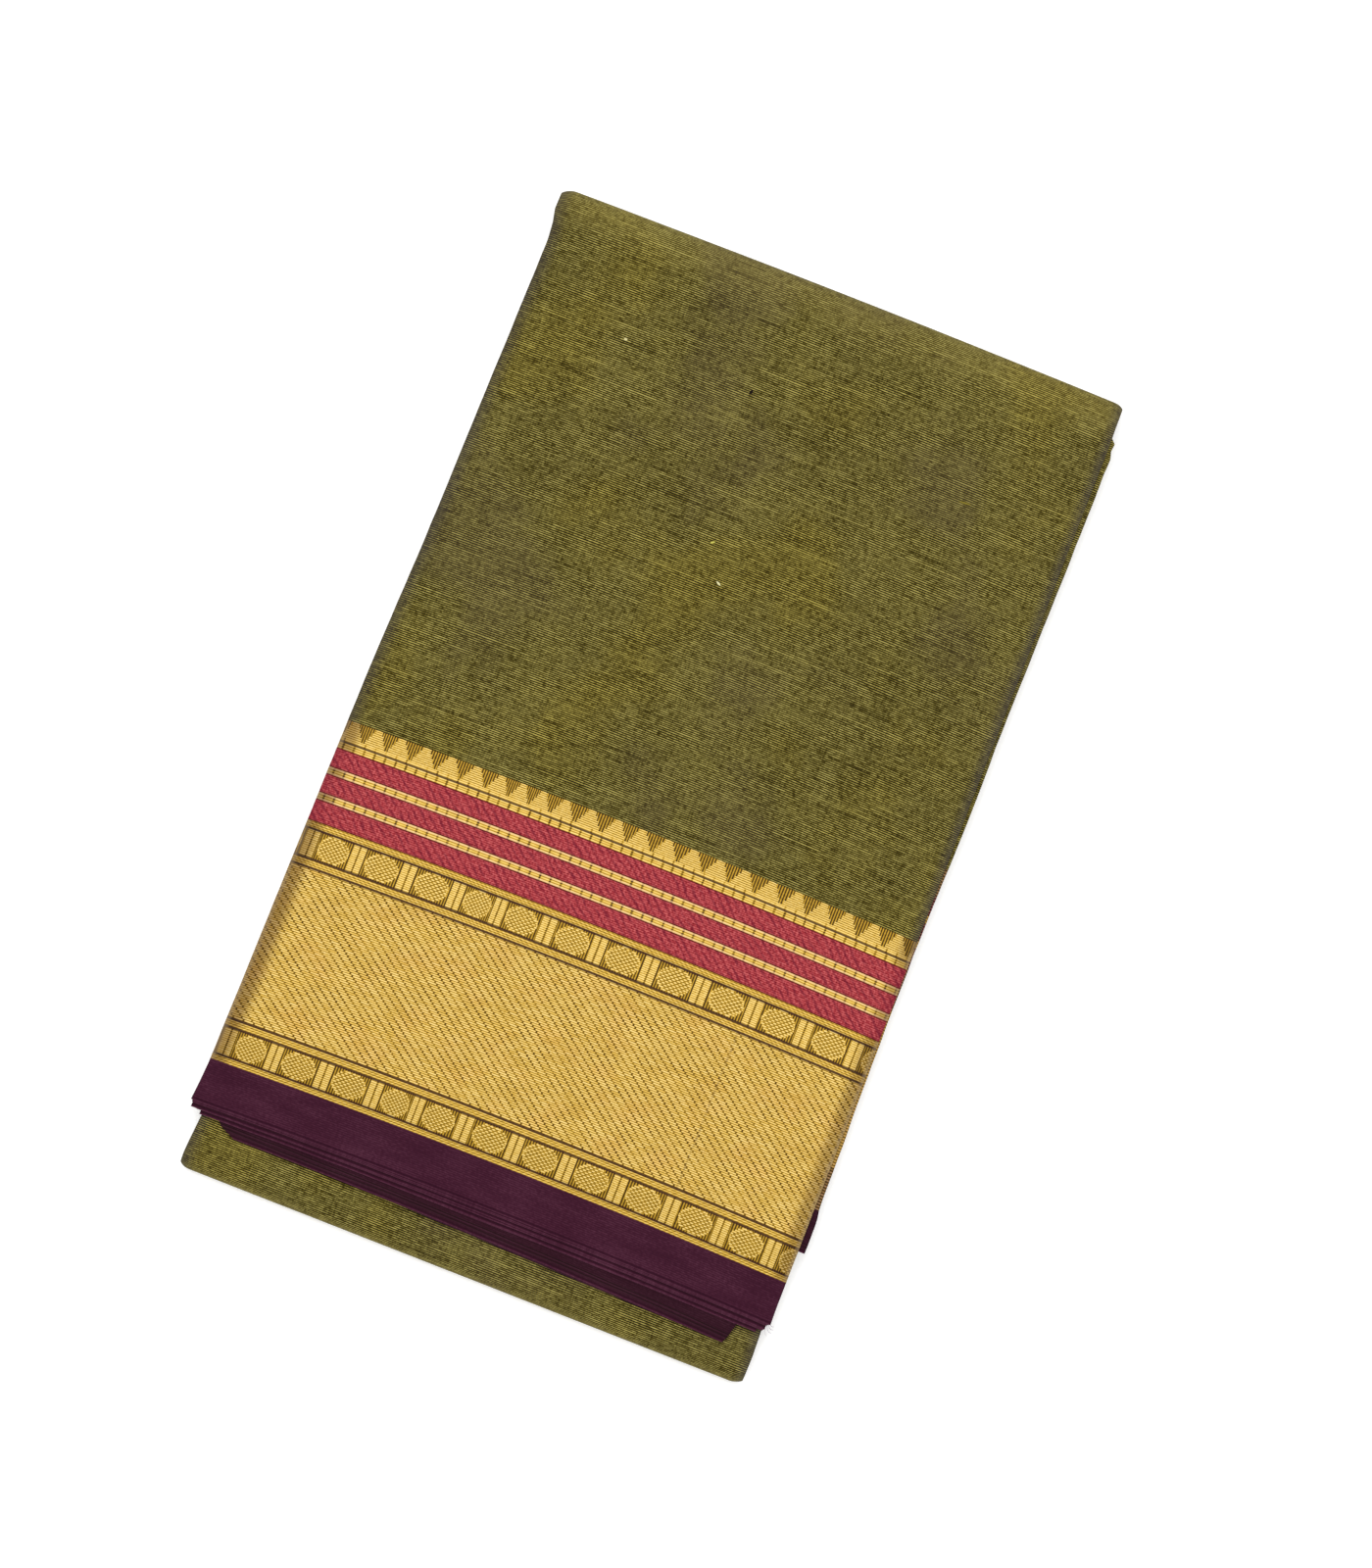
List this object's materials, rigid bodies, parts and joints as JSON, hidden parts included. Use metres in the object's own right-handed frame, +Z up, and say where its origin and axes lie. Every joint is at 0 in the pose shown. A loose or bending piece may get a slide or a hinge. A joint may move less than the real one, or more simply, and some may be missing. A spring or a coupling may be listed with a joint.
{
  "type": "folded saree",
  "caption": "Cotton saree folded into a flat oblong pack, with its woven gold border, red stripes and dark selvedge along one short end of the top panel",
  "frame": {"origin": "middle of the footprint, on the surface that the pack rests on", "axes": "+X along the cloth's length, to the right; +Y across the cloth, towards the top fold; +Z up"},
  "size_m": [0.2405, 0.4042, 0.0182],
  "materials": {
    "field_cloth": "shot cotton, yellow-green over grey-violet, matt",
    "inner_cloth": "shot cotton seen at its folded edges, matt",
    "gold_twill": "metallic yarn in a twill, soft sheen",
    "bead_weave": "metallic yarn figured on olive, soft sheen",
    "red_stripe": "crimson yarn in a twill, soft sheen",
    "maroon_selvedge": "plain dark cotton, matt"
  },
  "bodies": {
    "root": {"front_selvedge": "maroon_selvedge", "front_outer_bead_band": "bead_weave", "front_twill_band": "gold_twill", "front_inner_bead_band": "bead_weave", "front_lower_red_stripe": "red_stripe", "front_lower_gold_stripe": "gold_twill", "front_middle_red_stripe": "red_stripe", "front_upper_gold_stripe": "gold_twill", "front_upper_red_stripe": "red_stripe", "front_temple_band": "bead_weave", "front_field": "field_cloth", "top_fold": "field_cloth", "back_stretch": "field_cloth", "lower_fold": "field_cloth", "second_pack_selvedge": "maroon_selvedge", "second_pack_border": "bead_weave", "third_pack_selvedge": "maroon_selvedge", "third_pack_border": "bead_weave", "inner_layers": "inner_cloth"}
  },
  "joints": []
}
